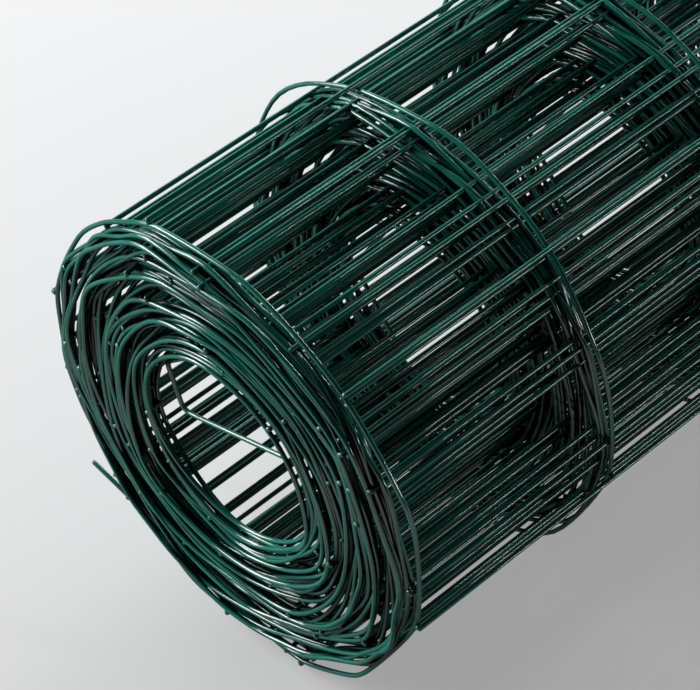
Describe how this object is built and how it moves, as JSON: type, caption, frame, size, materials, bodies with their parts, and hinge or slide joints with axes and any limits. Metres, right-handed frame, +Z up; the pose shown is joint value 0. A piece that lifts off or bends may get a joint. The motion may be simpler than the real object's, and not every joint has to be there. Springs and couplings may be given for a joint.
{
  "type": "roll of welded wire fencing",
  "caption": "Roll of green plastic-coated welded wire fencing lying on its side, with an open bore and springy loose wire ends; it unrolls into a garden fence.",
  "frame": {"origin": "on the floor, under the middle of the roll's axis", "axes": "+X along the roll's axis, with the end that the picture shows at -X; +Z up"},
  "size_m": [1.004, 0.1956, 0.1926],
  "materials": {
    "green_coated_wire": "smooth glossy dark green plastic coat on steel wire"
  },
  "bodies": {
    "root": {"wire_mesh_roll": "green_coated_wire"}
  },
  "joints": []
}
